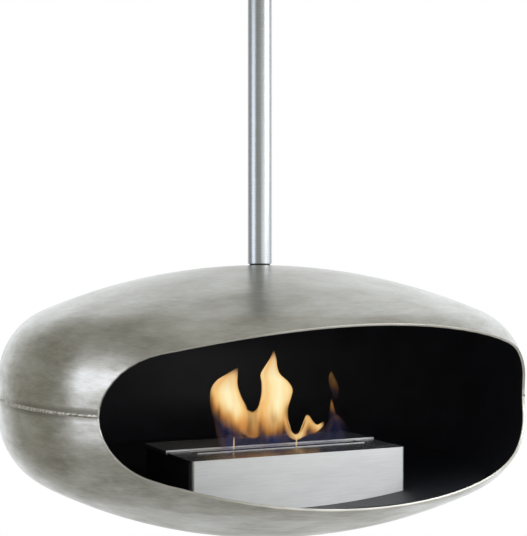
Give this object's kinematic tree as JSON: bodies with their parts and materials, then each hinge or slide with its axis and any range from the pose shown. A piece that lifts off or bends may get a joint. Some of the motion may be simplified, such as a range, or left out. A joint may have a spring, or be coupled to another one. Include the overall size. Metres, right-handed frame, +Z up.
{
  "type": "hanging fireplace",
  "caption": "Dished round steel pod with a wide oval opening, hung on a ceiling tube by a swivel; inside stands a box-shaped ethanol burner with a sliding lid.",
  "frame": {"origin": "on the hanging tube's axis, at the top face of the ceiling plate, where it meets the ceiling", "axes": "+Z up along the tube, -Y the way the opening faces, +X to the right of someone who stands before the opening and looks into it"},
  "size_m": [0.9018, 0.8488, 1.057],
  "materials": {
    "zinc_steel": "zinc-plated, satin",
    "zinc_screw": "zinc-plated",
    "bronze": "turned, satin",
    "thrust_plastic": "matte",
    "black_screw": "black oxide",
    "plain_steel": "mill finish",
    "cover_steel": "satin, spun",
    "tube_steel": "satin",
    "gap_black": "matte black",
    "pod_steel": "hand-ground stainless outside, heat-proof near-black satin paint inside",
    "weld_steel": "ground by hand",
    "inner_black": "heat-proof satin paint",
    "housing_black": "heat-proof satin paint",
    "front_steel": "brushed along its length",
    "top_steel": "brushed, heat-tinted",
    "lid_steel": "brushed along its length",
    "wool": "soft, off-white"
  },
  "bodies": {
    "ceiling": {"ceiling_plate": "zinc_steel", "swivel_housing": "zinc_steel", "housing_screws": "zinc_screw", "swivel_bush": "bronze", "thrust_washer": "thrust_plastic", "lock_screw": "black_screw"},
    "pod": {"tube_top_plug": "plain_steel", "cross_bolt": "zinc_screw", "cross_bolt_nut": "zinc_screw", "hanging_tube": "tube_steel", "tube_foot_plug": "plain_steel", "gap_washer": "gap_black", "upper_shell": "pod_steel", "lower_shell": "pod_steel", "seam_weld": "weld_steel", "crown_plate": "inner_black", "hanger_bolt": "zinc_screw", "hanger_washer": "zinc_screw", "hearth_plate": "inner_black", "hearth_posts": "plain_steel"},
    "cover": {"ceiling_cover": "cover_steel", "cover_grub_screw": "black_screw"},
    "burner": {"burner_housing": "housing_black", "burner_front_panel": "front_steel", "front_panel_nuts": "zinc_screw", "burner_top_plate": "top_steel", "fuel_tank": "plain_steel", "ceramic_wool": "wool"},
    "lid": {"burner_lid": "lid_steel"}
  },
  "joints": [
    {"name": "pod_swivel", "type": "hinge", "parent": "ceiling", "child": "pod", "pos_m": [0, 0, -0.033], "axis": [0, 0, 1], "continuous": true},
    {"name": "cover_slide", "type": "slide", "parent": "pod", "child": "cover", "axis": [0, 0, -1], "range_m": [0, 0.3]},
    {"name": "burner_withdraw", "type": "slide", "parent": "pod", "child": "burner", "axis": [0, -0.9397, 0.342], "range_m": [0, 0.56]},
    {"name": "lid_slide", "type": "slide", "parent": "burner", "child": "lid", "axis": [0, -1, 0], "range_m": [0, 0.0335]}
  ]
}
